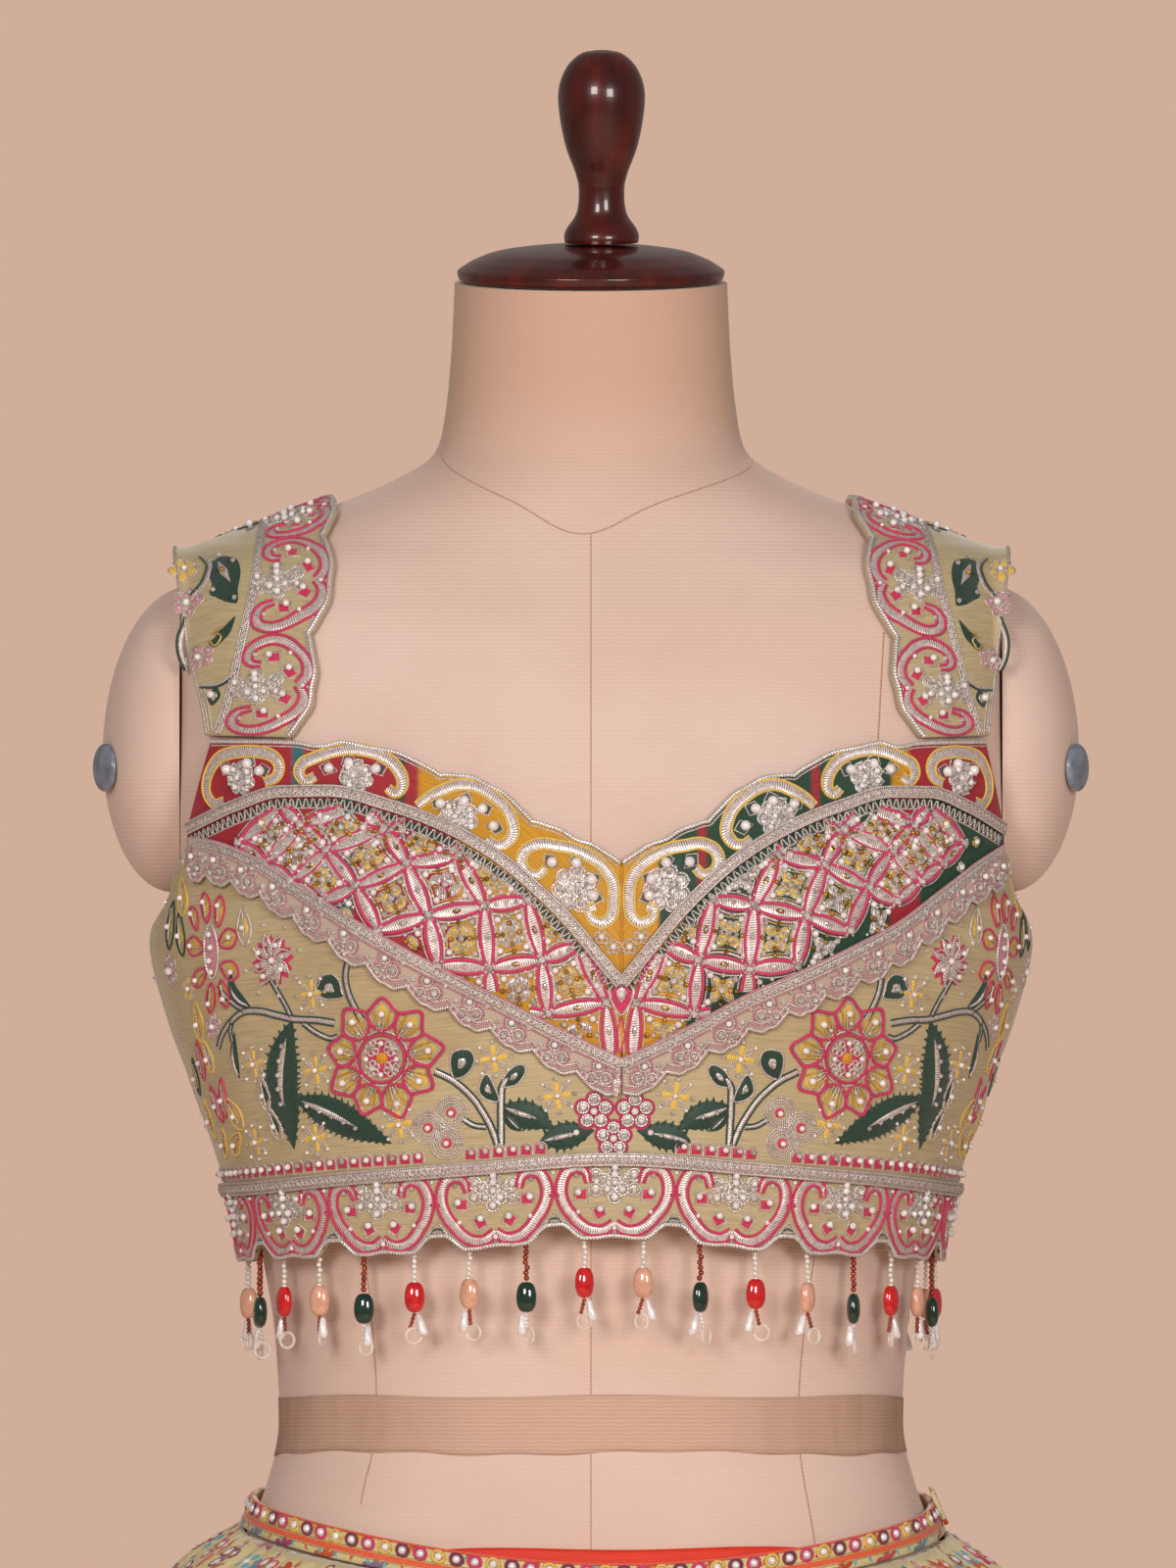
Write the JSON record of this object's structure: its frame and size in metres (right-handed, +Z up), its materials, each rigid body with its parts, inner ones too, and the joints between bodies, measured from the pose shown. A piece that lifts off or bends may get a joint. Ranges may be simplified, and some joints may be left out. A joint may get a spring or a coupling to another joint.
{
  "type": "lehenga choli set on a dress form",
  "caption": "Flared panelled lehenga skirt and beaded sweetheart choli with scalloped borders and a bead fringe, worn by a limbless dress form on a round stand.",
  "frame": {"origin": "centre of the stand's base, on the floor", "axes": "+Z up; the form faces -Y and its left side is +X"},
  "size_m": [0.966, 0.9667, 1.5981],
  "materials": {
    "jersey": "fine ribbed jersey, matte",
    "knob": "satin",
    "mahogany": "gloss varnish",
    "steel": "satin",
    "olive_silk": "raw silk, embroidered",
    "border_cloth": "silk under metal thread and beads",
    "lattice_cloth": "silk under metal thread and beads",
    "braid": "metal thread braid",
    "beads": "gloss beads",
    "printed_silk": "printed silk with mirror work",
    "orange_silk": "plain silk"
  },
  "bodies": {
    "root": {"form_torso": "jersey", "form_shoulder_left": "jersey", "form_arm_knob_left": "knob", "form_shoulder_right": "jersey", "form_arm_knob_right": "knob", "form_neck_cap": "mahogany", "form_finial": "mahogany", "form_base": "mahogany", "form_pole_flange": "steel", "form_pole": "steel", "choli_neck_border_left": "border_cloth", "choli_cup_left": "lattice_cloth", "choli_neck_braid_left": "braid", "choli_lace_left": "braid", "choli_back_left": "olive_silk", "choli_strap_left": "olive_silk", "choli_strap_border_left": "border_cloth", "choli_neck_border_right": "border_cloth", "choli_cup_right": "lattice_cloth", "choli_neck_braid_right": "braid", "choli_lace_right": "braid", "choli_back_right": "olive_silk", "choli_strap_right": "olive_silk", "choli_strap_border_right": "border_cloth", "choli_front": "olive_silk", "choli_hem_border_front": "border_cloth", "choli_hem_border_back_left": "border_cloth", "choli_hem_border_back_right": "border_cloth", "choli_hem_braid": "braid", "choli_bead_fringe": "beads", "skirt_panel_01": "printed_silk", "skirt_panel_02": "printed_silk", "skirt_panel_03": "printed_silk", "skirt_panel_04": "printed_silk", "skirt_panel_05": "printed_silk", "skirt_panel_06": "printed_silk", "skirt_panel_07": "printed_silk", "skirt_panel_08": "printed_silk", "skirt_panel_09": "printed_silk", "skirt_panel_10": "printed_silk", "skirt_panel_11": "printed_silk", "skirt_panel_12": "printed_silk", "skirt_waistband": "printed_silk", "skirt_facing": "orange_silk", "skirt_band_end": "printed_silk"}
  },
  "joints": []
}
